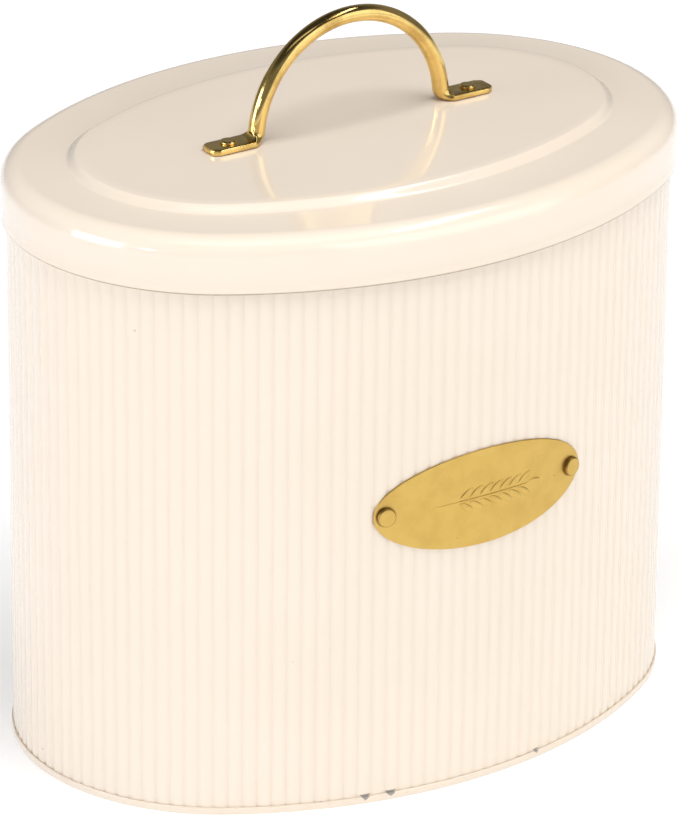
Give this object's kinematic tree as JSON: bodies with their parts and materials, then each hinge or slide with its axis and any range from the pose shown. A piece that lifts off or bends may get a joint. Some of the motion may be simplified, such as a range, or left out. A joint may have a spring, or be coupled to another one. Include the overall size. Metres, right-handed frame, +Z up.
{
  "type": "bread bin",
  "caption": "Oval bread bin of fluted painted steel with a lift-off lid, an arched brass handle and an oval brass label riveted to the front.",
  "frame": {"origin": "centre of the base oval, on the surface that the bin stands on", "axes": "+X along the oval to the right-hand end, -Y out of the front where the label is, +Z up through the handle"},
  "size_m": [0.32, 0.2276, 0.3275],
  "materials": {
    "cream_paint": "glossy cream enamel-look paint on sheet steel",
    "polished_brass": "polished brass, plated or solid",
    "satin_brass": "satin brass with a slightly uneven lacquer",
    "plated_steel": "zinc-plated steel"
  },
  "bodies": {
    "bin": {"body_wall": "cream_paint", "base_pan": "cream_paint", "label_plate": "satin_brass", "label_rivet_left": "satin_brass", "label_rivet_right": "satin_brass"},
    "lid": {"lid_shell": "cream_paint", "handle": "polished_brass", "handle_rivet_left": "polished_brass", "handle_rivet_right": "polished_brass", "handle_washer_left": "plated_steel", "handle_washer_right": "plated_steel"}
  },
  "joints": [
    {"name": "lid_lift", "type": "slide", "parent": "bin", "child": "lid", "axis": [0, 0, 1], "range_m": [0, 0.15]}
  ]
}
